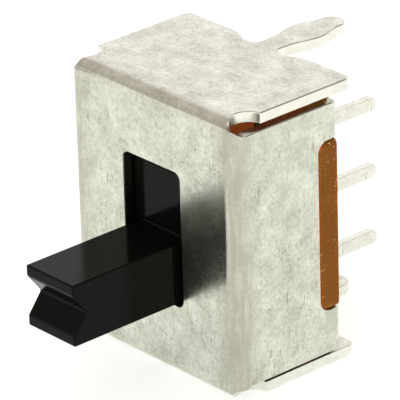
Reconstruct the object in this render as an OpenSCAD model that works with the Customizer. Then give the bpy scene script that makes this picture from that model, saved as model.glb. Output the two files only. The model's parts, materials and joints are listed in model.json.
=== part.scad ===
// Miniature slide switch with two rows of three terminals, for mounting at a right angle.
// The knob slides along Z and points along -Y, and the terminals and legs point along +Y.
// The origin is the middle of the bottom plate's underside, half way from the front face to the
// back edges of the plates. Modules draw with the front face at Y = 0, and in_place() moves them.

/* [Frame] */
// Height over the top and bottom plates
frame_h = 10.4; // [9:0.1:12.5]
// Width over the side walls
frame_w = 8.35; // [7.3:0.05:10.1]
// Thickness of the sheet metal
sheet = 0.4; // [0.3:0.01:0.5]
// Inner radius of the bends
bend_in = 0.12; // [0.1:0.01:0.2]
// Free depth between the front sheet and the terminal board
inner_depth = 3.5; // [3:0.1:4.5]
// Distance from a side wall's outer face in to the side edge of a plate
plate_inset = 0.07; // [0.02:0.01:0.3]
// Distance from the crimped ears back to the back edges of the plates
plate_overhang = 0.57; // [0.2:0.01:1]
// Radius of the back corners of the plates
plate_corner_r = 0.3; // [0.1:0.05:0.6]
// Slit between the top plate and the side walls
top_slit = 0.2; // [0.1:0.05:0.4]
// Slit between the bottom plate and the side walls
bottom_slit = 0.1; // [0.1:0.05:0.4]

/* [Corner reliefs] */
// Radius of the round notch in a plate beside its fold
relief_r = 0.62; // [0.4:0.01:0.7]
// Depth of that notch's centre behind the front face
relief_y = 0.7; // [0.6:0.01:0.8]
// Radius of the round corner cut in the front face
corner_cut_r = 0.45; // [0.3:0.01:0.5]
// Depth at which the round cut in the side wall is deepest
wall_relief_y = 0.6; // [0.5:0.01:0.8]

/* [Crimped ears] */
// Height of the two upper ears
upper_ear_h = 1.35; // [0.8:0.05:1.6]
// Height of the two lower ears
lower_ear_h = 1.63; // [0.8:0.01:1.7]
// Thickness of an ear where it lies on the board
ear_t = 0.21; // [0.15:0.01:0.4]
// Outer radius of an ear's curl
ear_r = 0.5; // [0.35:0.01:0.6]
// Length of an ear from the wall's outer face in to its tip
ear_reach = 0.75; // [0.6:0.05:1.2]
// Radius of the outer corners of an ear
ear_corner_r = 0.3; // [0.1:0.05:0.4]
// Radius of an ear's corners beside the recess
ear_lip_r = 0.15; // [0.05:0.05:0.3]
// Radius of the inner corners of the recess between the ears
recess_r = 0.42; // [0.1:0.01:0.5]

/* [Legs] */
// Length of a leg past the back edge of its plate
leg_len = 3.33; // [2.5:0.01:5]
// Width of a leg at its root and across its round tip
leg_root_w = 0.95; // [0.7:0.05:1.2]
// Greatest width of a leg
leg_w = 1.45; // [1.2:0.05:2]
// Sideways place of the legs
leg_x = 0.1; // [-0.2:0.05:0.2]
// Depth of the round notches beside the root of a leg
leg_notch = 0.3; // [0.1:0.05:0.4]
// Length of the slope from a notch out to the plate's back edge
leg_notch_slope = 0.6; // [0.3:0.05:1]

/* [Knob and slider] */
// Width of the knob
knob_w = 2.42; // [1.8:0.01:3]
// Height of the knob
knob_h = 2.27; // [1.8:0.01:2.8]
// Length of the knob in front of the front face
knob_reach = 4.63; // [2:0.01:8]
// Height of the groove across the knob's tip
groove_h = 1.47; // [0.8:0.01:1.6]
// Depth of the groove across the knob's tip
groove_depth = 0.57; // [0.2:0.01:1]
// Radius of the slider body's upright edges
slider_edge_r = 0.15; // [0.12:0.01:0.4]

/* [Slot] */
// Radius of the slot's corners
slot_corner_r = 0.25; // [0.1:0.01:0.5]
// Gap between the knob and each side of the slot
slot_side_gap = 0.215; // [0.05:0.005:0.4]
// Gap between the knob and each end of the slot at the end of its travel
slot_end_gap = 0.095; // [0.05:0.005:0.3]

/* [Terminals] */
// Spacing of the terminals along a row, which is also the knob's travel
pitch = 2.54; // [2:0.01:3.1]
// Distance between the two rows
row_spacing = 3.46; // [2.8:0.01:4.4]
// Width of a terminal blade
blade_w = 0.34; // [0.25:0.01:0.5]
// Height of a terminal blade
blade_h = 0.5; // [0.4:0.01:0.7]
// Length of a terminal past the back edges of the plates
blade_len = 3.23; // [2:0.01:5]
// Radius of the corners at a blade's tip
blade_tip_r = 0.18; // [0.05:0.01:0.2]
// Width of a terminal's contact head
head_w = 1.3; // [1:0.05:1.5]
// Height of a terminal's contact head
head_h = 1.5; // [1:0.05:1.6]
// Thickness of a terminal's contact head
head_t = 0.2; // [0.1:0.05:0.3]
// Radius of a contact head's corners
head_corner_r = 0.35; // [0.1:0.05:0.45]
// Size of the staked shoulder that holds a terminal at the back of the board
stake = 0.13; // [0.05:0.01:0.3]

/* [Terminal board] */
// Thickness of the board
board_t = 0.8; // [0.6:0.05:1.2]
// Distance that a tongue stands out from the side wall's outer face
tongue_proud = 0.03; // [0:0.01:0.1]
// Radius of a tongue's outer corners
tongue_corner_r = 0.2; // [0.05:0.05:0.4]

/* [Contact clips and springs] */
// Width of a contact clip
clip_w = 1.2; // [0.8:0.05:1.5]
// Thickness of a contact clip's strip
clip_t = 0.15; // [0.1:0.01:0.2]
// Outer radius of a clip's contact bump
bump_r = 0.6; // [0.4:0.05:0.7]
// Length of flat strip outside each bump
clip_margin = 0.25; // [0.15:0.05:0.4]
// Length of a clip's bent end
clip_leg = 0.6; // [0.3:0.05:0.8]
// Outer diameter of a contact spring
spring_d = 1.1; // [0.8:0.05:1.1]
// Diameter of the spring wire
wire_d = 0.15; // [0.1:0.01:0.18]
// Number of turns in a spring
spring_turns = 5; // [4:1:6]
// Length of a spring between its seats
spring_len = 1.6; // [1.4:0.05:1.7]

/* [Clearances] */
// Gap between the slider and the frame
slide_gap = 0.07; // [0.04:0.01:0.1]
// Gap between the slider body and the contact heads
head_clearance = 0.35; // [0.1:0.05:0.6]
// Gap between a contact bump and a contact head
contact_gap = 0.03; // [0.02:0.01:0.05]
// Gap between fixed pieces that fit together
fit_gap = 0.02; // [0.01:0.01:0.04]
// Gap between a clip or spring and its pocket
pocket_gap = 0.08; // [0.05:0.01:0.15]

/* [Hidden] */
$fn = 48;

// Colours
METAL = [0.80, 0.81, 0.77];
BROWN = [0.55, 0.31, 0.10];
BLACK = [0.10, 0.10, 0.10];
BRONZE = [0.78, 0.60, 0.32];

// Folds and depths behind the front face
bend_r = sheet + bend_in;
board_y = sheet + inner_depth;
board_back = board_y + board_t;
ear_front = board_back + fit_gap;
ear_back = ear_front + ear_t;
plate_depth = ear_back + plate_overhang;
plate_w = frame_w - 2 * plate_inset;
inner_w = frame_w - 2 * sheet;
leg_tip = plate_depth + leg_len;
mid_z = frame_h / 2;
// A length that is longer than any piece, for cuts that go right through
beyond = 4 * (frame_h + frame_w);

// Side walls
wall_top = frame_h - sheet - top_slit;
wall_bottom = sheet + bottom_slit;
recess_top = wall_top - upper_ear_h;
recess_bottom = wall_bottom + lower_ear_h;
recess_mid = (recess_top + recess_bottom) / 2;
recess_h = recess_top - recess_bottom;
recess_y = board_y - fit_gap;

// Slider and slot
travel = pitch;
slot_w = knob_w + 2 * slot_side_gap;
slot_h = knob_h + travel + 2 * slot_end_gap;
slider_z = mid_z - travel / 2;
slider_len = frame_h - 2 * sheet - travel - 2 * slide_gap;
slider_w = inner_w - 2 * slide_gap;
slider_front = sheet + slide_gap;
head_front = board_y - head_t;
slider_back = head_front - head_clearance;

// Contact clips and springs
bump_y = head_front - contact_gap - bump_r;
strip_back = bump_y - clip_t;
clip_len = pitch + 2 * bump_r + 2 * clip_margin;
clip_pocket_y = strip_back - clip_leg - pocket_gap;
spring_seat_y = strip_back - spring_len;
spring_bore_r = spring_d / 2 + pocket_gap;
// Sides of the wire's section, and steps in one turn
wire_sides = 8;
turn_steps = 20;
// Pitch of the closed turn at each end of a spring, in wire diameters
closed_turn = 1.1;

// Moves a drawing with its front face at Y = 0 to the switch's own origin
module in_place() translate([0, -plate_depth / 2, 0]) children();

// Extrudes an outline drawn as (depth, height) to both sides of X = 0
module along_x(length) rotate([90, 0, 90]) translate([0, 0, -length / 2]) linear_extrude(length) children();

// Extrudes an outline drawn as (width, height) from depth y0 to depth y1
module along_y(y0, y1) translate([0, y1, 0]) rotate([90, 0, 0]) linear_extrude(y1 - y0) children();

// Turns an outline drawn as (height, depth) into (depth, height)
module as_side_view() mirror([1, 0]) rotate(90) children();

// A rectangle from y = 0 to y = d, with corners of radius r1 at y = 0 and r2 at y = d
module rounded_rect(w, d, r1, r2) {
    translate([-w / 2, r1]) square([w, d - r1 - r2]);
    for (end = [[r1, 0, r1], [r2, d - r2, d - r2]])
        if (end[0] > 0) {
            translate([-w / 2 + end[0], end[1]]) square([w - 2 * end[0], end[0]]);
            for (s = [-1, 1]) translate([s * (w / 2 - end[0]), end[2]]) circle(end[0]);
        }
}

// A rectangle with its middle at the origin and four round corners
module pad_outline(w, h, r) translate([0, -h / 2]) rounded_rect(w, h, r, r);

// The material outside a convex corner of radius r, whose sides run along +x and +y
module corner_waste(r) difference() {
    translate([-r, -r]) square(2 * r);
    translate([r, r]) circle(r);
    translate([0, r]) square(2 * r);
    translate([r, 0]) square(2 * r);
}

// Plan of the front, the side walls and the ears that curl in over the board
module wall_plan() difference() {
    rounded_rect(frame_w, ear_back, bend_r, ear_r);
    translate([0, sheet]) rounded_rect(inner_w, ear_front - sheet, bend_in, 0);
    translate([0, board_y]) rounded_rect(frame_w - 2 * ear_reach, beyond, 0, 0);
}

// The recess between a side wall's two ears, seen from the side, smaller by gap all round
module recess_outline(gap) as_side_view() translate([recess_mid, recess_y + gap])
    rounded_rect(recess_h - 2 * gap, beyond, recess_r - gap, 0);

// A side wall and the edge of the front, seen from the side
module wall_side() difference() {
    union() {
        as_side_view() translate([(wall_top + wall_bottom) / 2, 0])
            rounded_rect(wall_top - wall_bottom, ear_back, 0, ear_corner_r);
        translate([0, sheet]) square([wall_relief_y, frame_h - 2 * sheet]);
    }
    translate([wall_relief_y, frame_h]) circle(frame_h - wall_top);
    translate([wall_relief_y, 0]) circle(wall_bottom);
    recess_outline(0);
    translate([ear_back, recess_top]) mirror([1, 0]) corner_waste(ear_lip_r);
    translate([ear_back, recess_bottom]) rotate(180) corner_waste(ear_lip_r);
}

module side_walls() intersection() {
    linear_extrude(frame_h) wall_plan();
    along_x(frame_w) wall_side();
}

// The folds that join both plates to the front, seen from the side
module fold_side() as_side_view() translate([mid_z, 0]) difference() {
    rounded_rect(frame_h, leg_tip, bend_r, 0);
    translate([0, sheet]) rounded_rect(frame_h - 2 * sheet, leg_tip, bend_in, 0);
}

// Half the width of a leg at a share t of the way to its round tip
function leg_half(t) = leg_root_w / 2 + (leg_w - leg_root_w) / 2 * (1 - cos(360 * pow(t, 1.3))) / 2;

// A leg that swells towards its middle and ends in a round tip
module leg_outline() {
    steps = 24;
    straight = leg_len - leg_root_w / 2;
    side = [for (i = [0:steps]) [leg_half(i / steps), plate_depth + straight * i / steps]];
    translate([leg_x, 0]) {
        polygon(concat(
            [[leg_root_w / 2, plate_depth - 2 * leg_notch]],
            side,
            [for (i = [steps:-1:0]) [-side[i][0], side[i][1]]],
            [[-leg_root_w / 2, plate_depth - 2 * leg_notch]]
        ));
        translate([0, plate_depth + straight]) circle(leg_root_w / 2);
    }
}

// The notch beside a leg's root, drawn for the +X side
module leg_notch_outline() translate([leg_root_w / 2 + leg_notch, plate_depth]) {
    circle(leg_notch);
    polygon([[0, 0], [0, -leg_notch], [leg_notch, -leg_notch], [leg_notch + leg_notch_slope, 0]]);
}

module plate_plan() {
    difference() {
        rounded_rect(plate_w, plate_depth, 0, plate_corner_r);
        for (s = [0, 1]) translate([leg_x, 0]) mirror([s, 0]) leg_notch_outline();
        for (s = [-1, 1]) translate([s * frame_w / 2, relief_y]) circle(relief_r);
    }
    leg_outline();
}

module plates() intersection() {
    along_x(plate_w) fold_side();
    linear_extrude(frame_h) plate_plan();
}

module frame() color(METAL) in_place() difference() {
    intersection() {
        union() {
            side_walls();
            plates();
        }
        // Both sets of folds round off the block that the sheet is wrapped around
        along_x(beyond) as_side_view() translate([mid_z, 0]) rounded_rect(frame_h, leg_tip, bend_r, 0);
        linear_extrude(frame_h) rounded_rect(frame_w, leg_tip, bend_r, 0);
    }
    along_y(-1, slider_front) translate([0, mid_z]) pad_outline(slot_w, slot_h, slot_corner_r);
    along_y(-1, relief_y) for (s = [-1, 1], z = [0, frame_h])
        translate([s * frame_w / 2, z]) circle(corner_cut_r);
}

// The board's main part between the walls and plates
module board_outline() translate([0, mid_z])
    square([inner_w - 2 * fit_gap, frame_h - 2 * sheet - 2 * fit_gap], center = true);

module terminal_board() color(BROWN) in_place() difference() {
    union() {
        along_y(board_y, board_back) board_outline();
        intersection() {
            along_y(board_y, board_back) translate([0, recess_mid])
                pad_outline(frame_w + 2 * tongue_proud, recess_h - 2 * fit_gap, tongue_corner_r);
            along_x(beyond) recess_outline(fit_gap);
        }
    }
    for (side = [-1, 1], row = [-1, 0, 1])
        along_y(board_y - 1, board_back + 1) translate([side * row_spacing / 2, mid_z + row * pitch])
            square([blade_w + 2 * fit_gap, blade_h + 2 * fit_gap], center = true);
}

// One terminal: side is -1 or 1, and row is -1, 0 or 1 from the lowest up
module terminal(side, row) color(METAL) in_place()
    translate([side * row_spacing / 2, 0, mid_z + row * pitch]) {
        along_y(head_front, board_y) pad_outline(head_w, head_h, head_corner_r);
        along_x(blade_w) as_side_view() translate([0, board_y])
            rounded_rect(blade_h, plate_depth + blade_len - board_y, 0, blade_tip_r);
        along_y(board_back, board_back + stake)
            square([blade_w + 2 * stake, blade_h + 2 * stake], center = true);
    }

module knob() along_x(knob_w) polygon([
    [slider_front + slider_edge_r, -knob_h / 2],
    [-knob_reach, -knob_h / 2],
    [-knob_reach, -groove_h / 2],
    [groove_depth - knob_reach, 0],
    [-knob_reach, groove_h / 2],
    [-knob_reach, knob_h / 2],
    [slider_front + slider_edge_r, knob_h / 2]
]);

// The pocket of one contact clip and the bore of its spring
module clip_pocket(side) translate([side * row_spacing / 2, 0, 0]) {
    along_y(clip_pocket_y, slider_back + 1)
        square([clip_w + 2 * pocket_gap, clip_len + 2 * pocket_gap], center = true);
    translate([0, clip_pocket_y + pocket_gap, 0]) rotate([90, 0, 0])
        cylinder(r = spring_bore_r, h = clip_pocket_y + pocket_gap - spring_seat_y);
}

module slider() color(BLACK) in_place() translate([0, 0, slider_z]) difference() {
    union() {
        translate([0, slider_front, -slider_len / 2]) linear_extrude(slider_len)
            rounded_rect(slider_w, slider_back - slider_front, slider_edge_r, slider_edge_r);
        knob();
    }
    for (side = [-1, 1]) clip_pocket(side);
}

// Half of a clip's strip seen from the side: flat middle, round bump and bent end
module clip_side() {
    difference() {
        union() {
            translate([strip_back, -clip_t]) square([clip_t, clip_len / 2 + clip_t]);
            translate([bump_y, pitch / 2]) circle(bump_r);
        }
        translate([bump_y, pitch / 2]) circle(bump_r - clip_t);
        translate([strip_back - clip_t, pitch / 2 - bump_r + clip_t]) square([2 * clip_t, 2 * (bump_r - clip_t)]);
        translate([strip_back - bump_r, pitch / 2 - bump_r]) square([bump_r, 2 * bump_r]);
    }
    translate([strip_back - clip_leg, clip_len / 2 - clip_t]) square([clip_leg + clip_t, clip_t]);
}

module contact_clip(side) color(BRONZE) in_place() translate([side * row_spacing / 2, 0, slider_z])
    along_x(clip_w) {
        clip_side();
        mirror([0, 1]) clip_side();
    }

// Height of the wire's middle along a spring after t turns: closed end turns and open middle turns
function coil_rise(t) =
    let (open = (spring_len - 2 * fit_gap - wire_d - 2 * closed_turn * wire_d) / (spring_turns - 2))
    t < 1 ? closed_turn * wire_d * t
    : t > spring_turns - 1 ? closed_turn * wire_d * (t - spring_turns + 2) + open * (spring_turns - 2)
    : closed_turn * wire_d + open * (t - 1);

// A coil of round wire along +Z, from z = 0
module coil() {
    rings = spring_turns * turn_steps;
    path_r = (spring_d - wire_d) / 2;
    points = [for (i = [0:rings], j = [0:wire_sides - 1])
        let (turn = 360 * i / turn_steps, round = 360 * j / wire_sides, r = path_r + wire_d / 2 * cos(round))
        [r * cos(turn), r * sin(turn), wire_d / 2 + coil_rise(i / turn_steps) + wire_d / 2 * sin(round)]];
    sides = [for (i = [0:rings - 1], j = [0:wire_sides - 1])
        let (k = (j + 1) % wire_sides)
        [i * wire_sides + j, i * wire_sides + k, (i + 1) * wire_sides + k, (i + 1) * wire_sides + j]];
    ends = [
        [for (j = [wire_sides - 1:-1:0]) j],
        [for (j = [0:wire_sides - 1]) rings * wire_sides + j]
    ];
    polyhedron(points, concat(sides, ends));
}

module contact_spring(side) color(METAL) in_place()
    translate([side * row_spacing / 2, spring_seat_y + fit_gap, slider_z]) rotate([-90, 0, 0]) coil();

frame();
terminal_board();
slider();
terminal(-1, 1);  // terminal_left_upper
terminal(-1, 0);  // terminal_left_middle
terminal(-1, -1);  // terminal_left_lower
terminal(1, 1);  // terminal_right_upper
terminal(1, 0);  // terminal_right_middle
terminal(1, -1);  // terminal_right_lower
contact_clip(-1);  // contact_clip_left
contact_clip(1);  // contact_clip_right
contact_spring(-1);  // contact_spring_left
contact_spring(1);  // contact_spring_right
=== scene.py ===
"""A miniature slide switch on a pale floor, built around its packed frame.

Lengths in the property groups are in metres, as everywhere in the scene. Pieces that are finished
from a copy of a construction node are worked on in millimetres, because Blender's tools are too
coarse for edges a few hundredths of a millimetre wide, and are brought back to metres at the end.
"""

import json
import math

import bmesh
import bpy
from mathutils import Matrix, Vector
from mathutils.bvhtree import BVHTree

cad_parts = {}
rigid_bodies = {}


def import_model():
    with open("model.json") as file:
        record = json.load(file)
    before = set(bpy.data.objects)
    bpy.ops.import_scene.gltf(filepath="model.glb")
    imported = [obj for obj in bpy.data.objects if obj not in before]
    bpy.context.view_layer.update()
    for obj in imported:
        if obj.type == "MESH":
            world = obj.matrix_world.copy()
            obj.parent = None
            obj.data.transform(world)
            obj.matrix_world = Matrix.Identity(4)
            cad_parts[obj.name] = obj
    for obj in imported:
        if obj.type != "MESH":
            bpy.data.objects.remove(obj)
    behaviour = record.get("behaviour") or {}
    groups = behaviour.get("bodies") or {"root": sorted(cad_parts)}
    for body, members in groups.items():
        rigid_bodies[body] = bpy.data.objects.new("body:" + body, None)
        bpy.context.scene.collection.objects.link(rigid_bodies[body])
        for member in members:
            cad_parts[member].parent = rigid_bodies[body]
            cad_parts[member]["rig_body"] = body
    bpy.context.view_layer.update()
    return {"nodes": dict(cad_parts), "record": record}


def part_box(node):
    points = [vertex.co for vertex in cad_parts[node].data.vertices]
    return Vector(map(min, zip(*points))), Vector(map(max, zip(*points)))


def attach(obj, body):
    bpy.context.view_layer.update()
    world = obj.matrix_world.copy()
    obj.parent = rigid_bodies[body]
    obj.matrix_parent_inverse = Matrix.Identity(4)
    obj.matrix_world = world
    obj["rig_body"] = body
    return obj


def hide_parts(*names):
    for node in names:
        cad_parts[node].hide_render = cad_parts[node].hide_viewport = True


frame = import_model()

bl_info = {
    "name": "Slide switch",
    "version": (1, 0, 0),
    "blender": (4, 5, 0),
    "location": "3D View > Sidebar > Slide switch",
    "description": "Finishes a miniature slide switch and sets it on a pale floor",
    "category": "Object",
}

MM = 0.001  # one millimetre, in metres
TERMINALS = [
    f"terminal_{side}_{row}"
    for side in ("left", "right") for row in ("upper", "middle", "lower")
]
CLIPS = ["contact_clip_left", "contact_clip_right"]
SPRINGS = ["contact_spring_left", "contact_spring_right"]


def slot_colour(name):
    """The base colour that the record gives a material slot, with an alpha of 1."""
    found = next(row for row in frame["record"]["materials"] if row["slot"] == name)
    return (*found["base_color"][:3], 1.0)


# ---------------------------------------------------------------------------------------------
# What a user would change


def colour_property(name, description, default):
    """A colour swatch with an alpha."""
    return bpy.props.FloatVectorProperty(
        name=name, description=description, default=default,
        subtype="COLOR", size=4, min=0.0, max=1.0,
    )


def length_property(name, description, default):
    """A length in metres."""
    return bpy.props.FloatProperty(
        name=name, description=description, default=default,
        min=0.0, unit="LENGTH", precision=5,
    )


def angle_property(name, description, degrees):
    """An angle, given in degrees and kept in radians."""
    return bpy.props.FloatProperty(
        name=name, description=description, default=math.radians(degrees), subtype="ANGLE"
    )


class FrameSettings(bpy.types.PropertyGroup):
    """The plated sheet frame."""

    plating: colour_property("Plating", "The tin plating", (0.745, 0.78, 0.675, 1.0))
    tarnish: colour_property("Tarnish", "Duller patches in it", (0.44, 0.465, 0.38, 1.0))
    stain: colour_property("Stain", "Pits and scratches in it", (0.16, 0.14, 0.09, 1.0))
    # The bends' colour makes the plating darker near the upright bends
    bend: colour_property("Bend", "Plating dulled along the upright bends", (0.42, 0.42, 0.34, 1.0))
    # The fold's colour is a painted reflection: a darker, warmer tint over the top fold
    fold: colour_property("Fold", "Painted reflection tint on the top fold", (0.52, 0.47, 0.41, 1.0))
    cut: colour_property("Cut", "Metal where the sheet was cut", (0.92, 0.93, 0.86, 1.0))
    # Painted shade on the slot's cut edges, standing in for the dark slider that they reflect
    slot_shade: colour_property("Painted slot shade", "Painted shade on the slot's cut edges", (0.24, 0.23, 0.19, 1.0))
    edge_round: length_property("Edge rollover", "Width of a cut edge's rollover", 0.065 * MM)
    thickest: length_property(
        "Thickest sheet", "More metal than this behind a face means a cut edge", 0.46 * MM
    )
    crisp: length_property(
        "Crisp corners", "How near to a folded corner the edges stay crisp", 0.45 * MM
    )


class SliderSettings(bpy.types.PropertyGroup):
    """The black slider and its knob."""

    plastic: colour_property("Plastic", "The moulded plastic", (0.0045, 0.004, 0.0032, 1.0))
    edge_round: length_property("Edge rounding", "Width of a moulded edge's rounding", 0.07 * MM)


class BoardSettings(bpy.types.PropertyGroup):
    """The brown terminal board."""

    phenolic: colour_property("Phenolic", "The board", (0.26, 0.094, 0.005, 1.0))
    fibre: colour_property("Fibre", "Paler fibres in the board", (0.75, 0.5, 0.25, 1.0))
    # A painted glow that the inner faces give off
    glow: colour_property("Glow", "Daylight through to the inner faces", (1.0, 0.22, 0.05, 1.0))
    edge_round: length_property("Edge rounding", "Width of a punched edge's rounding", 0.04 * MM)


class TerminalSettings(bpy.types.PropertyGroup):
    """The six terminals."""

    plating: colour_property("Plating", "The terminals' plating", (0.82, 0.845, 0.755, 1.0))
    tarnish: colour_property("Tarnish", "Duller patches in it", (0.62, 0.635, 0.55, 1.0))
    stain: colour_property("Stain", "Pits and scratches in it", (0.2, 0.18, 0.13, 1.0))
    edge_round: length_property("Edge rounding", "Width of a blade edge's rounding", 0.06 * MM)


class ContactSettings(bpy.types.PropertyGroup):
    """The clips and springs inside."""

    bronze: colour_property("Bronze", "The contact clips", slot_colour("clip"))
    steel: colour_property("Steel", "The spring wire", slot_colour("spring"))


class StageSettings(bpy.types.PropertyGroup):
    """The floor, lights and camera."""

    floor: colour_property("Floor", "The floor", (0.77, 0.785, 0.77, 1.0))
    azimuth: angle_property("Azimuth", "Camera's turn from straight in front", 48.78)
    elevation: angle_property("Elevation", "Camera's height above level", 25.0)
    roll: angle_property("Roll", "Camera's tilt about its own line of sight", 1.71)
    distance: length_property("Distance", "From the camera to where it looks", 150.0 * MM)
    view_width: length_property("View width", "Width of the view at that distance", 13.70 * MM)


SETTINGS = {
    "switch_frame": FrameSettings,
    "switch_slider": SliderSettings,
    "switch_board": BoardSettings,
    "switch_terminals": TerminalSettings,
    "switch_contacts": ContactSettings,
    "switch_stage": StageSettings,
}

# ---------------------------------------------------------------------------------------------
# Small tools for modelling

COARSE_ANGLE = math.radians(30)  # edges sharper than this are rounded and shaded as edges
BEHIND = 0.01  # how far behind a face its metal is measured from, in millimetres
SAME_POINT = 0.0008  # points nearer than this, in millimetres, are one
FLAT_ANGLE = math.radians(0.4)  # triangles that turn less than this are one face
STRAY_REACH = 0.42  # a clean rounding is nearer to the old surface than this many widths
STRAY_ROUNDS = 20  # how often stray points are smoothed at most
SLIVER = 0.003  # the length of a sliver's short edge, in millimetres
INNER_SHARE = 0.4  # how much of an outer edge's rounding the frame's other edges get
OUTLINE = 2.0  # the slot is further than this from the frame's outline, in millimetres


def deselect_all():
    if bpy.context.object and bpy.context.object.mode != "OBJECT":
        bpy.ops.object.mode_set(mode="OBJECT")
    bpy.ops.object.select_all(action="DESELECT")


def activate(piece):
    deselect_all()
    piece.select_set(True)
    bpy.context.view_layer.objects.active = piece


def millimetre_copy(node, name):
    """A thousandfold copy of a construction node, its loose triangles merged into clean faces."""
    mesh = frame["nodes"][node].data.copy()
    mesh.materials.clear()
    mesh.transform(Matrix.Scale(1 / MM, 4))
    piece = bpy.data.objects.new(name, mesh)
    bpy.context.scene.collection.objects.link(piece)
    activate(piece)
    bpy.ops.mesh.customdata_custom_splitnormals_clear()
    bpy.ops.object.mode_set(mode="EDIT")
    bpy.ops.mesh.select_all(action="SELECT")
    bpy.ops.mesh.remove_doubles(threshold=SAME_POINT)
    bpy.ops.mesh.dissolve_limited(angle_limit=FLAT_ANGLE, use_dissolve_boundaries=False)
    bpy.ops.object.mode_set(mode="OBJECT")
    return piece


def box_corners(piece):
    """The lowest and the highest corner of the box round a millimetre copy."""
    corners = list(zip(*piece.bound_box))
    return Vector([min(along) for along in corners]), Vector([max(along) for along in corners])


def weigh_edges(piece, share_of=lambda edge: 1.0):
    """Gives each sharp edge of a millimetre copy its share, from 0 to 1, of the full rounding."""
    mesh = bmesh.new()
    mesh.from_mesh(piece.data)
    weights = mesh.edges.layers.float.new("bevel_weight_edge")
    for edge in mesh.edges:
        if edge.is_manifold and edge.calc_face_angle() > COARSE_ANGLE:
            edge[weights] = share_of(edge)
    mesh.to_mesh(piece.data)
    mesh.free()


def points_on_faces(mesh):
    """A point inside each face, even one with a hole: the middle of its largest triangle."""
    largest = {}
    for corners in mesh.calc_loop_triangles():
        a, b, c = (corner.vert.co for corner in corners)
        area = (b - a).cross(c - a).length
        face = corners[0].face.index
        if area > largest.get(face, (0,))[0]:
            largest[face] = (area, (a + b + c) / 3)
    return [
        largest[face.index][1] if face.index in largest else face.calc_center_median()
        for face in mesh.faces
    ]


def sheet_sides(piece, thickest):
    """Sorts a wrapped sheet's faces: 1 for the outer side, -1 for the inner side, 0 for cut edges.

    A face is on a side when the metal behind it is no thicker than the sheet.
    """
    mesh = bmesh.new()
    mesh.from_mesh(piece.data)
    mesh.faces.ensure_lookup_table()
    tree = BVHTree.FromBMesh(mesh)
    # The sheet wraps round this point, which lies close behind its front
    low, high = box_corners(piece)
    core = (low + high) / 2
    core.y = low.y + 4 * thickest
    sides = []
    for face, point in zip(mesh.faces, points_on_faces(mesh)):
        inside = point - face.normal * BEHIND
        depth = tree.ray_cast(inside, -face.normal)[3]
        if depth is None or depth > thickest:
            sides.append(0)
        else:
            sides.append(1 if face.normal.dot(inside - core) > 0 else -1)
    mesh.free()
    return sides


def mark_faces(piece, name, values):
    """Stores a number on each face, for a material to read by its name."""
    attribute = piece.data.attributes.new(name, "FLOAT", "FACE")
    attribute.data.foreach_set("value", [float(value) for value in values])


def settle_strays(piece, before, reach):
    """Smooths back the points that the rounding of tiny edges threw off the surface from before."""
    activate(piece)
    for _ in range(STRAY_ROUNDS):
        stray = [before.find_nearest(vertex.co)[3] > reach for vertex in piece.data.vertices]
        if not any(stray):
            return
        mesh = piece.data
        mesh.polygons.foreach_set("select", [False] * len(mesh.polygons))
        mesh.edges.foreach_set("select", [False] * len(mesh.edges))
        mesh.vertices.foreach_set("select", stray)
        bpy.ops.object.mode_set(mode="EDIT")
        bpy.ops.mesh.select_mode(type="VERT")
        bpy.ops.mesh.vertices_smooth(factor=1.0)
        bpy.ops.object.mode_set(mode="OBJECT")


def round_edges(piece, width, segments=2):
    """Rounds the weighed edges of a millimetre copy. Width is in metres."""
    activate(piece)
    surface = bmesh.new()
    surface.from_mesh(piece.data)
    before = BVHTree.FromBMesh(surface)
    surface.free()
    bevel = piece.modifiers.new("Rounded edges", "BEVEL")
    bevel.width = width / MM
    bevel.segments = segments
    bevel.limit_method = "WEIGHT"
    bevel.use_clamp_overlap = False
    bevel.miter_outer = "MITER_ARC"
    bpy.ops.object.modifier_apply(modifier=bevel.name)
    settle_strays(piece, before, STRAY_REACH * width / MM)


def close_slivers(piece):
    """Closes up a millimetre copy's tiny edges and faces, which would catch the light as lines."""
    activate(piece)
    bpy.ops.object.mode_set(mode="EDIT")
    bpy.ops.mesh.select_all(action="SELECT")
    bpy.ops.mesh.remove_doubles(threshold=SLIVER)
    bpy.ops.mesh.dissolve_degenerate(threshold=SLIVER)
    bpy.ops.object.mode_set(mode="OBJECT")


def finish_piece(piece, node, material):
    """Brings a millimetre copy back to size and lets it stand for its node."""
    activate(piece)
    bpy.ops.object.shade_smooth_by_angle(angle=COARSE_ANGLE)
    flat = piece.modifiers.new("Flat faces", "WEIGHTED_NORMAL")
    flat.weight = 100
    flat.keep_sharp = True
    bpy.ops.object.modifier_apply(modifier=flat.name)
    piece.data.transform(Matrix.Scale(MM, 4))
    piece.data.materials.append(material)
    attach(piece, frame["nodes"][node]["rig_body"])
    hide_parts(node)
    deselect_all()


def dress_node(node, material):
    """Gives a construction node that stays as it is its material."""
    mesh = frame["nodes"][node].data
    mesh.materials.clear()
    mesh.materials.append(material)


# ---------------------------------------------------------------------------------------------
# Materials


def place(tree, kind, inputs=(), **attributes):
    """Adds a node. An input is a value for its socket, or another node's output to link to it."""
    node = tree.nodes.new(kind)
    for name, value in attributes.items():
        setattr(node, name, value)
    for name, value in dict(inputs).items():
        if isinstance(value, bpy.types.NodeSocket):
            tree.links.new(value, node.inputs[name])
        else:
            node.inputs[name].default_value = value
    return node


def noise(tree, vector, scale, detail, roughness):
    made = place(
        tree, "ShaderNodeTexNoise",
        {"Vector": vector, "Scale": scale, "Detail": detail, "Roughness": roughness},
    )
    return made.outputs["Fac"]


def remap(tree, value, low, high, to_low=0.0, to_high=1.0):
    """Stretches the values from low to high over a new range, and holds them there."""
    made = place(
        tree, "ShaderNodeMapRange",
        {"Value": value, "From Min": low, "From Max": high, "To Min": to_low, "To Max": to_high},
    )
    return made.outputs["Result"]


def combine(tree, operation, first, second):
    return place(tree, "ShaderNodeMath", {0: first, 1: second}, operation=operation).outputs[0]


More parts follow.
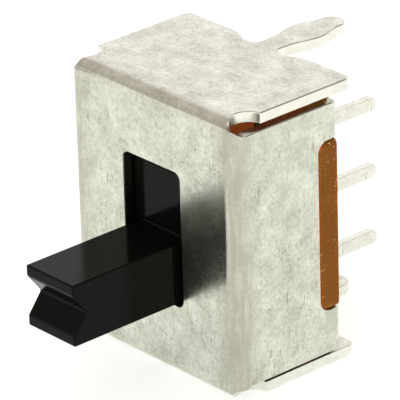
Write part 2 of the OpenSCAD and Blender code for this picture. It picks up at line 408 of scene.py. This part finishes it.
def blend_colours(tree, share, first, second):
    made = place(
        tree, "ShaderNodeMix", {"Factor": share, "A": first, "B": second}, data_type="RGBA"
    )
    return made.outputs["Result"]


def darkened(colour, share):
    """A share of a colour's brightness, with an alpha of 1."""
    return tuple(share * part for part in colour[:3]) + (1.0,)


def new_group(name, inputs, outputs):
    """An empty shader group. Its inputs are numbers with a usual value; outputs name their kind."""
    group = bpy.data.node_groups.new(name, "ShaderNodeTree")
    for label, usual in inputs:
        socket = group.interface.new_socket(label, in_out="INPUT", socket_type="NodeSocketFloat")
        socket.default_value = usual
    for label, kind in outputs:
        group.interface.new_socket(label, in_out="OUTPUT", socket_type=kind)
    return group, group.nodes.new("NodeGroupInput"), group.nodes.new("NodeGroupOutput")


def millimetres(tree):
    """The piece's own coordinates, counted in millimetres."""
    coordinates = place(tree, "ShaderNodeTexCoord").outputs["Object"]
    scaled = place(
        tree, "ShaderNodeVectorMath", {0: coordinates, "Scale": 1 / MM}, operation="SCALE"
    )
    return scaled.outputs["Vector"]


def hairlines(tree, vector, turn, length, width, threshold):
    """Short, slightly wavy lines that run one way, upright before they are turned.

    Length and width are in millimetres. A higher threshold makes the lines rarer.
    """
    bent = place(
        tree, "ShaderNodeTexNoise",
        {"Vector": vector, "Scale": 2.2, "Detail": 2.0, "Roughness": 0.6},
    ).outputs["Color"]
    shift = place(tree, "ShaderNodeVectorMath", {0: bent, "Scale": 0.14}, operation="SCALE")
    wavy = place(
        tree, "ShaderNodeVectorMath", {0: vector, 1: shift.outputs["Vector"]}, operation="ADD"
    )
    drawn = place(
        tree, "ShaderNodeMapping",
        {
            "Vector": wavy.outputs["Vector"], "Rotation": turn,
            "Scale": (1 / width, 1 / width, 1 / length),
        },
    ).outputs["Vector"]
    return remap(tree, noise(tree, drawn, 0.5, 1.0, 0.4), threshold, threshold + 0.06)


def make_wear_group():
    """Marks of stamping and handling on a small piece. Its sizes are in millimetres."""
    group, given, result = new_group(
        "Handling wear",
        [("Mottle size", 0.16), ("Speck size", 0.07)],
        [
            ("Mottle", "NodeSocketFloat"), ("Specks", "NodeSocketFloat"),
            ("Scratches", "NodeSocketFloat"), ("Waviness", "NodeSocketFloat"),
        ],
    )
    vector = millimetres(group)
    mottle_scale = combine(group, "DIVIDE", 1.0, given.outputs["Mottle size"])
    speck_scale = combine(group, "DIVIDE", 1.0, given.outputs["Speck size"])

    # Fine mottling over patches about five times as large
    fine = noise(group, vector, mottle_scale, 2.0, 0.6)
    broad = noise(group, vector, combine(group, "MULTIPLY", mottle_scale, 0.22), 4.0, 0.6)
    mixed = combine(
        group, "ADD",
        combine(group, "MULTIPLY", fine, 0.42), combine(group, "MULTIPLY", broad, 0.58),
    )
    mottle = remap(group, mixed, 0.33, 0.67)

    # Pits and scratches come in patches
    patches = remap(group, noise(group, vector, 1.1, 3.0, 0.6), 0.42, 0.60)
    pits = remap(group, noise(group, vector, speck_scale, 1.0, 0.4), 0.65, 0.73)
    specks = combine(group, "MULTIPLY", pits, patches)

    upright = hairlines(group, vector, (0.1, 0.05, 0.0), 0.8, 0.035, 0.69)
    level = hairlines(group, vector, (1.45, 0.3, 0.5), 0.5, 0.03, 0.72)
    slanted = hairlines(group, vector, (0.6, 0.8, 0.2), 0.5, 0.03, 0.71)
    lines = combine(group, "MAXIMUM", combine(group, "MAXIMUM", upright, level), slanted)
    scratches = combine(group, "MULTIPLY", lines, patches)

    waviness = noise(group, vector, 0.45, 1.0, 0.4)
    for label, value in (
        ("Mottle", mottle), ("Specks", specks), ("Scratches", scratches), ("Waviness", waviness)
    ):
        group.links.new(value, result.inputs[label])
    return group


def wear(tree, **sizes):
    """The outputs of the shared wear group, placed in a material. Sizes are its inputs."""
    made = tree.nodes.new("ShaderNodeGroup")
    made.node_tree = bpy.data.node_groups.get("Handling wear") or make_wear_group()
    for label, value in sizes.items():
        made.inputs[label.replace("_", " ").capitalize()].default_value = value
    return made.outputs


def new_material(name):
    """An empty material with a surface shader. Returns the material, its tree and the shader."""
    material = bpy.data.materials.new(name)
    material.use_nodes = True
    tree = material.node_tree
    tree.nodes.clear()
    shader = tree.nodes.new("ShaderNodeBsdfPrincipled")
    output = tree.nodes.new("ShaderNodeOutputMaterial")
    tree.links.new(shader.outputs["BSDF"], output.inputs["Surface"])
    return material, tree, shader


def bump(tree, shader, height, depth):
    """Bumps the surface by a height from 0 to 1, which stands for depth in metres."""
    made = place(tree, "ShaderNodeBump", {"Height": height, "Distance": depth, "Strength": 1.0})
    tree.links.new(made.outputs["Normal"], shader.inputs["Normal"])


def plated_metal(name, settings, add_marks=None):
    """Dull tin plating: mottled, pitted and scratched. add_marks may lay more over its colour."""
    material, tree, shader = new_material(name)
    marks = wear(tree)
    colour = blend_colours(tree, marks["Mottle"], tuple(settings.plating), tuple(settings.tarnish))
    cuts = combine(tree, "MAXIMUM", marks["Specks"], marks["Scratches"])
    stained = combine(tree, "MULTIPLY", cuts, 0.75)
    colour = blend_colours(tree, stained, colour, tuple(settings.stain))
    if add_marks:
        colour = add_marks(tree, colour)
    tree.links.new(colour, shader.inputs["Base Color"])
    shader.inputs["Metallic"].default_value = 1.0
    tree.links.new(remap(tree, marks["Mottle"], 0.0, 1.0, 0.2, 0.3), shader.inputs["Roughness"])
    # The sheet is wavy on the whole, and only slightly raised and cut by the marks
    relief = combine(
        tree, "ADD", combine(tree, "MULTIPLY", marks["Mottle"], 0.04), marks["Waviness"]
    )
    relief = combine(tree, "SUBTRACT", relief, combine(tree, "MULTIPLY", cuts, 0.05))
    bump(tree, shader, relief, 0.03 * MM)
    return material


def face_mark(tree, name):
    """The number that mark_faces stored on the face."""
    return place(tree, "ShaderNodeAttribute", attribute_name=name).outputs["Fac"]


def upright_streaks(tree):
    """Streaks a fifth of a millimetre wide that run up and down a piece."""
    drawn = place(
        tree, "ShaderNodeMapping", {"Vector": millimetres(tree), "Scale": (5.0, 5.0, 0.6)}
    )
    return noise(tree, drawn.outputs["Vector"], 1.0, 3.0, 0.6)


def from_upright_bends(tree, box):
    """The distance in plan from the upright bends at the two front corners of a box."""
    low, high = (corner / MM for corner in box)
    middle = ((low.x + high.x) / 2, low.y, 0)
    half_width = (high.x - low.x) / 2

    def step(operation, first, second=(0, 0, 0)):
        made = place(tree, "ShaderNodeVectorMath", {0: first, 1: second}, operation=operation)
        return made.outputs["Vector"]

    mirrored = step("ABSOLUTE", step("SUBTRACT", millimetres(tree), middle))
    in_plan = step("MULTIPLY", step("SUBTRACT", mirrored, (half_width, 0, 0)), (1, 1, 0))
    return place(tree, "ShaderNodeVectorMath", {0: in_plan}, operation="LENGTH").outputs["Value"]


def sheet_marks(settings, box):
    """Marks for plated_metal that follow a sheet's shape.

    The metal is darker along the upright bends at the front of its box, has a painted reflection, a
    darker and warmer tint, over the fold to the top plate, is brighter where it was cut, and has
    painted shade on the cut edges in the slot.
    """

    def lay(tree, colour):
        # Darkest within 0.25 mm of a bend and gone at 1.2 mm, with streaks that thin it out
        streaks = remap(tree, upright_streaks(tree), 0.38, 0.62, 0.45, 1.0)
        near_bend = remap(tree, from_upright_bends(tree, box), 0.25, 1.2, 0.95, 0.0)
        darker = combine(tree, "MULTIPLY", near_bend, streaks)
        colour = blend_colours(tree, darker, colour, tuple(settings.bend))
        # The fold gets a painted reflection, a darker and warmer tint, and the cut edges are
        # brighter
        for mark, strength, paint in (("fold", 0.2, settings.fold), ("cut", 0.6, settings.cut)):
            share = combine(tree, "MULTIPLY", face_mark(tree, mark), strength)
            colour = blend_colours(tree, share, colour, tuple(paint))
        # Painted shade on the slot's cut edges, laid fully over the plating
        return blend_colours(tree, face_mark(tree, "slot"), colour, tuple(settings.slot_shade))

    return lay


def moulded_plastic(name, colour):
    """Black plastic with a faint unevenness and fine scratches."""
    material, tree, shader = new_material(name)
    marks = wear(tree, mottle_size=0.3, speck_size=0.05)
    shader.inputs["Base Color"].default_value = colour
    shader.inputs["Specular IOR Level"].default_value = 0.07
    worn = combine(
        tree, "MAXIMUM", combine(tree, "MULTIPLY", marks["Mottle"], 0.3), marks["Scratches"]
    )
    tree.links.new(remap(tree, worn, 0.0, 1.0, 0.12, 0.3), shader.inputs["Roughness"])
    bump(tree, shader, marks["Mottle"], 0.0004 * MM)
    return material


def phenolic_board(name, resin, fibre, glow):
    """Brown paper phenolic with a scatter of pale fibres.

    Its inner faces give off a little painted glow, an emission that stands in for daylight coming
    through from behind.
    """
    material, tree, shader = new_material(name)
    marks = wear(tree, mottle_size=0.3, speck_size=0.09)
    colour = blend_colours(tree, marks["Mottle"], resin, darkened(resin, 0.8))
    colour = blend_colours(tree, marks["Specks"], colour, fibre)
    tree.links.new(colour, shader.inputs["Base Color"])
    # Painted glow: the inner faces emit a little light that stands in for daylight through the
    # board
    glowing = blend_colours(tree, face_mark(tree, "inner"), (0.0, 0.0, 0.0, 1.0), glow)
    tree.links.new(glowing, shader.inputs["Emission Color"])
    shader.inputs["Emission Strength"].default_value = 0.15
    shader.inputs["Specular IOR Level"].default_value = 0.08
    shader.inputs["Subsurface Weight"].default_value = 1.0
    shader.inputs["Subsurface Radius"].default_value = (1.0, 0.5, 0.2)
    shader.inputs["Subsurface Scale"].default_value = 0.35 * MM
    tree.links.new(remap(tree, marks["Mottle"], 0.0, 1.0, 0.3, 0.45), shader.inputs["Roughness"])
    bump(tree, shader, combine(tree, "ADD", marks["Mottle"], marks["Specks"]), 0.004 * MM)
    return material


def plain_metal(name, colour):
    """Semi-bright strip or wire with faint drawing marks."""
    material, tree, shader = new_material(name)
    marks = wear(tree, mottle_size=0.2)
    drawn = blend_colours(tree, marks["Mottle"], colour, darkened(colour, 0.75))
    tree.links.new(drawn, shader.inputs["Base Color"])
    shader.inputs["Metallic"].default_value = 1.0
    tree.links.new(remap(tree, marks["Mottle"], 0.0, 1.0, 0.18, 0.3), shader.inputs["Roughness"])
    bump(tree, shader, marks["Scratches"], 0.004 * MM)
    return material


def floor_panel(name, colour):
    """A matt white panel with a very faint tooth, lit a little from below."""
    material, tree, shader = new_material(name)
    tooth = noise(tree, millimetres(tree), 2.0, 3.0, 0.6)
    toothed = blend_colours(tree, tooth, colour, darkened(colour, 0.985))
    tree.links.new(toothed, shader.inputs["Base Color"])
    shader.inputs["Roughness"].default_value = 0.9
    shader.inputs["Specular IOR Level"].default_value = 0.0
    shader.inputs["Emission Color"].default_value = (1.0, 1.0, 1.0, 1.0)
    shader.inputs["Emission Strength"].default_value = 0.6
    return material


# ---------------------------------------------------------------------------------------------
# Operators: one for each piece or group of like pieces, and one for the stage


class SWITCH_OT_frame(bpy.types.Operator):
    """Finish the folded and plated sheet frame"""

    bl_idname = "switch.frame"
    bl_label = "Frame"

    def execute(self, context):
        settings = context.scene.switch_frame
        thickest = settings.thickest / MM
        piece = millimetre_copy("frame", "sheet_frame")
        sides = sheet_sides(piece, thickest)
        self.mark_sheet(piece, sides, thickest)
        weigh_edges(piece, self.rollover(piece, sides, thickest, settings.crisp / MM))
        round_edges(piece, settings.edge_round, segments=3)
        close_slivers(piece)
        plating = plated_metal("Tin plating", settings, sheet_marks(settings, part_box("frame")))
        finish_piece(piece, "frame", plating)
        return {"FINISHED"}

    def mark_sheet(self, piece, sides, thickest):
        """Marks the slot's cut edges, all other cut edges, and the outside of the top fold."""
        low, high = box_corners(piece)
        slot, cut, fold = [], [], []
        for side, face in zip(sides, piece.data.polygons):
            x, y, z = face.center
            in_slot = (
                side == 0 and low.y < y < low.y + thickest
                and low.x + OUTLINE < x < high.x - OUTLINE
                and low.z + OUTLINE < z < high.z - OUTLINE
            )
            slot.append(in_slot)
            cut.append(side == 0 and not in_slot)
            # The fold's strips look partly up and hardly sideways
            fold.append(side == 1 and 0.05 < face.normal.z < 0.999 and abs(face.normal.x) < 0.05)
        mark_faces(piece, "slot", slot)
        mark_faces(piece, "cut", cut)
        mark_faces(piece, "fold", fold)

    def rollover(self, piece, sides, thickest, crisp):
        """The share_of for weigh_edges: outer edges roll over most, folded corners not at all."""
        corners = self.folded_corners(piece, thickest)

        def share_of(edge):
            middle = (edge.verts[0].co + edge.verts[1].co) / 2
            away = min((middle - corner).length for corner in corners)
            fading = min(max((away - crisp) / crisp, 0.0), 1.0)
            outer = any(sides[face.index] == 1 for face in edge.link_faces)
            return fading * (1.0 if outer else INNER_SHARE)

        return share_of

    def folded_corners(self, piece, thickest):
        """The four points where an upright bend meets a plate's fold."""
        low, high = box_corners(piece)
        half_width = high.x - thickest / 2
        return [
            Vector((side * half_width, low.y + thickest / 2, level))
            for side in (-1, 1) for level in (low.z + thickest, high.z - thickest)
        ]


class SWITCH_OT_board(bpy.types.Operator):
    """Finish the brown terminal board"""

    bl_idname = "switch.board"
    bl_label = "Terminal board"

    def execute(self, context):
        settings = context.scene.switch_board
        piece = millimetre_copy("terminal_board", "phenolic_board")
        # Its inner faces look to the front
        mark_faces(piece, "inner", [face.normal.y < -0.5 for face in piece.data.polygons])
        weigh_edges(piece)
        round_edges(piece, settings.edge_round)
        phenolic = phenolic_board(
            "Paper phenolic",
            tuple(settings.phenolic), tuple(settings.fibre), tuple(settings.glow),
        )
        finish_piece(piece, "terminal_board", phenolic)
        return {"FINISHED"}


class SWITCH_OT_slider(bpy.types.Operator):
    """Finish the black slider and its grooved knob"""

    bl_idname = "switch.slider"
    bl_label = "Slider and knob"

    def execute(self, context):
        settings = context.scene.switch_slider
        piece = millimetre_copy("slider", "slider_and_knob")
        weigh_edges(piece)
        round_edges(piece, settings.edge_round, segments=3)
        plastic = moulded_plastic("Black plastic", tuple(settings.plastic))
        finish_piece(piece, "slider", plastic)
        return {"FINISHED"}


class SWITCH_OT_terminals(bpy.types.Operator):
    """Finish the six plated terminals"""

    bl_idname = "switch.terminals"
    bl_label = "Terminals"

    def execute(self, context):
        settings = context.scene.switch_terminals
        plating = plated_metal("Terminal plating", settings)
        for node in TERMINALS:
            piece = millimetre_copy(node, node + "_plated")
            weigh_edges(piece)
            round_edges(piece, settings.edge_round)
            finish_piece(piece, node, plating)
        return {"FINISHED"}


class SWITCH_OT_contacts(bpy.types.Operator):
    """Dress the contact clips and their springs"""

    bl_idname = "switch.contacts"
    bl_label = "Contact clips and springs"

    def execute(self, context):
        settings = context.scene.switch_contacts
        bronze = plain_metal("Phosphor bronze", tuple(settings.bronze))
        steel = plain_metal("Spring wire", tuple(settings.steel))
        for node in CLIPS:
            dress_node(node, bronze)
        for node in SPRINGS:
            dress_node(node, steel)
        return {"FINISHED"}


FLOOR_SIZE = 3.0
FLOOR_GAP = 0.002 * MM  # keeps the floor's face out of the bottom plate's

TENT_WALLS = (1.06, 1.04, 1.02, 1.0)
# Each patch's direction, the angles in degrees from it where it starts and is full, and its colour
TENT_PATCHES = [
    ((0, 0, 1), 62, 50, (0.80, 0.725, 0.69, 1.0)),  # the dimmer, warmer top
    ((-0.75, -0.66, 0.1), 62, 40, (0.80, 0.725, 0.69, 1.0)),  # the dimmer front left
    ((-0.68, -0.60, 0.42), 18, 7, (0.68, 0.63, 0.58, 1.0)),  # an opening there
    ((0.42, 0.60, 0.68), 36, 18, (0.24, 0.20, 0.16, 1.0)),  # a dark opening behind and above
    ((-0.68, 0.60, 0.38), 34, 16, (1.27, 1.195, 1.22, 1.0)),  # the bright back left
]

MIDDLE = (0.0, -0.75 * MM, 5.0 * MM)  # the middle of the switch
FRAMING = (0.107 * MM, 0.586 * MM)  # how far the view is moved to its right and up from there


class SWITCH_OT_stage(bpy.types.Operator):
    """Set up the floor, the light and the camera"""

    bl_idname = "switch.stage"
    bl_label = "Floor, light and camera"

    def execute(self, context):
        settings = context.scene.switch_stage
        self.add_floor(tuple(settings.floor))
        self.light_sky(context.scene)
        self.add_camera(context.scene, settings)
        context.scene.view_settings.view_transform = "Standard"
        return {"FINISHED"}

    def add_floor(self, colour):
        deselect_all()
        bpy.ops.mesh.primitive_plane_add(size=FLOOR_SIZE, location=(0, 0, -FLOOR_GAP))
        floor = bpy.context.object
        floor.name = "floor"
        floor.data.materials.append(floor_panel("Floor", colour))

    def light_sky(self, scene):
        """A light tent: white walls, brightest at the back, and a dimmer, warmer top."""
        world = bpy.data.worlds.new("Light tent")
        world.use_nodes = True
        scene.world = world
        tree = world.node_tree
        tree.nodes.clear()
        direction = place(tree, "ShaderNodeTexCoord").outputs["Generated"]

        def near(towards, wide, narrow):
            """1 within an angle of a direction, fading to 0 at a wider angle, both in degrees."""
            aim = Vector(towards).normalized()
            cosine = place(
                tree, "ShaderNodeVectorMath", {0: direction, 1: aim}, operation="DOT_PRODUCT"
            )
            start, full = (math.cos(math.radians(angle)) for angle in (wide, narrow))
            return remap(tree, cosine.outputs["Value"], start, full)

        colour = TENT_WALLS
        for towards, wide, narrow, patch in TENT_PATCHES:
            colour = blend_colours(tree, near(towards, wide, narrow), colour, patch)
        background = place(tree, "ShaderNodeBackground", {"Color": colour, "Strength": 1.0})
        output = place(tree, "ShaderNodeOutputWorld")
        tree.links.new(background.outputs["Background"], output.inputs["Surface"])

    def add_camera(self, scene, settings):
        """Looks at the middle of the switch from in front, from the right and from above."""
        azimuth, elevation, roll = settings.azimuth, settings.elevation, settings.roll
        back = Vector((
            math.sin(azimuth) * math.cos(elevation),
            -math.cos(azimuth) * math.cos(elevation),
            math.sin(elevation),
        ))
        right = Vector((math.cos(azimuth), math.sin(azimuth), 0))
        up = back.cross(right)
        right_turned = right * math.cos(roll) - up * math.sin(roll)
        up_turned = right * math.sin(roll) + up * math.cos(roll)
        aim = Vector(MIDDLE) + right_turned * FRAMING[0] + up_turned * FRAMING[1]

        data = bpy.data.cameras.new("camera")
        data.sensor_width = 36.0
        data.lens = data.sensor_width * settings.distance / settings.view_width
        data.clip_start = 5 * MM
        data.clip_end = 20.0
        camera = bpy.data.objects.new("camera", data)
        scene.collection.objects.link(camera)
        turned = Matrix((right_turned, up_turned, back)).transposed().to_4x4()
        camera.matrix_world = Matrix.Translation(aim + back * settings.distance) @ turned
        scene.camera = camera


OPERATORS = [
    SWITCH_OT_stage, SWITCH_OT_frame, SWITCH_OT_board,
    SWITCH_OT_slider, SWITCH_OT_terminals, SWITCH_OT_contacts,
]


class SWITCH_PT_panel(bpy.types.Panel):
    """The switch's pieces and their settings"""

    bl_idname = "SWITCH_PT_panel"
    bl_label = "Slide switch"
    bl_space_type = "VIEW_3D"
    bl_region_type = "UI"
    bl_category = "Slide switch"

    def draw(self, context):
        for operator in OPERATORS:
            self.layout.operator(operator.bl_idname)
        for name, group in SETTINGS.items():
            box = self.layout.box()
            box.label(text=group.__doc__)
            for setting in group.__annotations__:
                box.prop(getattr(context.scene, name), setting)


def register():
    for group in SETTINGS.values():
        bpy.utils.register_class(group)
    for operator in OPERATORS:
        bpy.utils.register_class(operator)
    bpy.utils.register_class(SWITCH_PT_panel)
    for name, group in SETTINGS.items():
        setattr(bpy.types.Scene, name, bpy.props.PointerProperty(type=group))


def unregister():
    for name in SETTINGS:
        delattr(bpy.types.Scene, name)
    bpy.utils.unregister_class(SWITCH_PT_panel)
    for operator in reversed(OPERATORS):
        bpy.utils.unregister_class(operator)
    for group in reversed(list(SETTINGS.values())):
        bpy.utils.unregister_class(group)


def main():
    register()
    bpy.ops.switch.stage()
    bpy.ops.switch.frame()
    bpy.ops.switch.board()
    bpy.ops.switch.slider()
    bpy.ops.switch.terminals()
    bpy.ops.switch.contacts()


if __name__ == "__main__":
    main()
